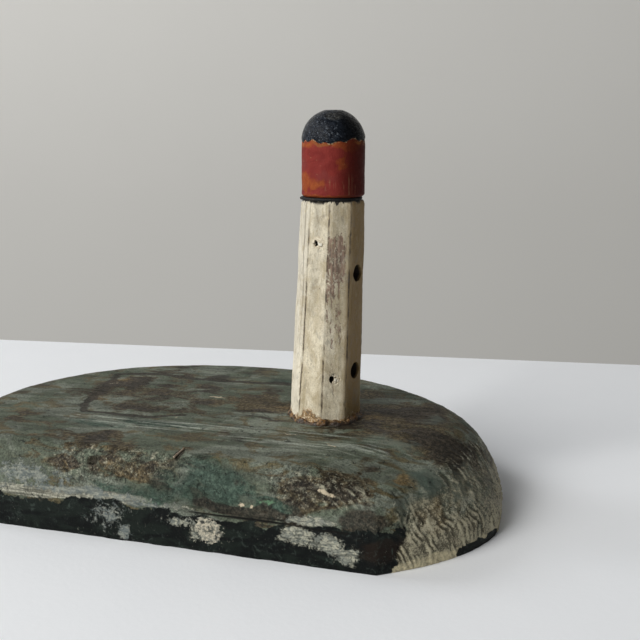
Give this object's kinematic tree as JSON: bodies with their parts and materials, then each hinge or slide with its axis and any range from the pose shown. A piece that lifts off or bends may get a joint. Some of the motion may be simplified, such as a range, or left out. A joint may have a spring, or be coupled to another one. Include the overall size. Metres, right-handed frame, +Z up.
{
  "type": "model lighthouse",
  "caption": "Carved wooden harbour light: eight-sided tapered tower with a domed lantern that lifts off and turns on a dowel, on an oval island base.",
  "frame": {"origin": "on the ground, under the middle of the base", "axes": "+X along the board towards the tower end, +Y towards the rounded back, +Z up"},
  "size_m": [0.244, 0.14, 0.1628],
  "materials": {
    "island_paint": "worn matte paint over carved softwood",
    "filler": "crumbly dry filler",
    "tower_paint": "aged cream paint, worn to the wood in places",
    "screw_steel": "dull oxidised steel",
    "old_glue": "cracked amber glue",
    "peg_wood": "torn bare wood",
    "disc_black": "black painted, ragged edge",
    "pin_wood": "bare dowel",
    "lantern_paint": "oxblood paint with a blue-black dome, satin",
    "brad_steel": "rusted"
  },
  "bodies": {
    "stand": {"island_base": "island_paint", "edge_filler": "filler", "tower_shaft": "tower_paint", "foot_screw": "screw_steel", "foot_glue": "old_glue", "upper_peg": "peg_wood", "lower_peg": "peg_wood", "gallery_disc": "disc_black", "brad": "brad_steel"},
    "pin": {"lantern_pin": "pin_wood"},
    "lantern": {"lantern": "lantern_paint"}
  },
  "joints": [
    {"name": "lantern_lift", "type": "slide", "parent": "stand", "child": "pin", "axis": [0, 0, 1], "range_m": [0, 0.02]},
    {"name": "lantern_turn", "type": "hinge", "parent": "pin", "child": "lantern", "pos_m": [0.04816, 0.00096, 0.1284], "axis": [0, 0, 1], "continuous": true}
  ]
}
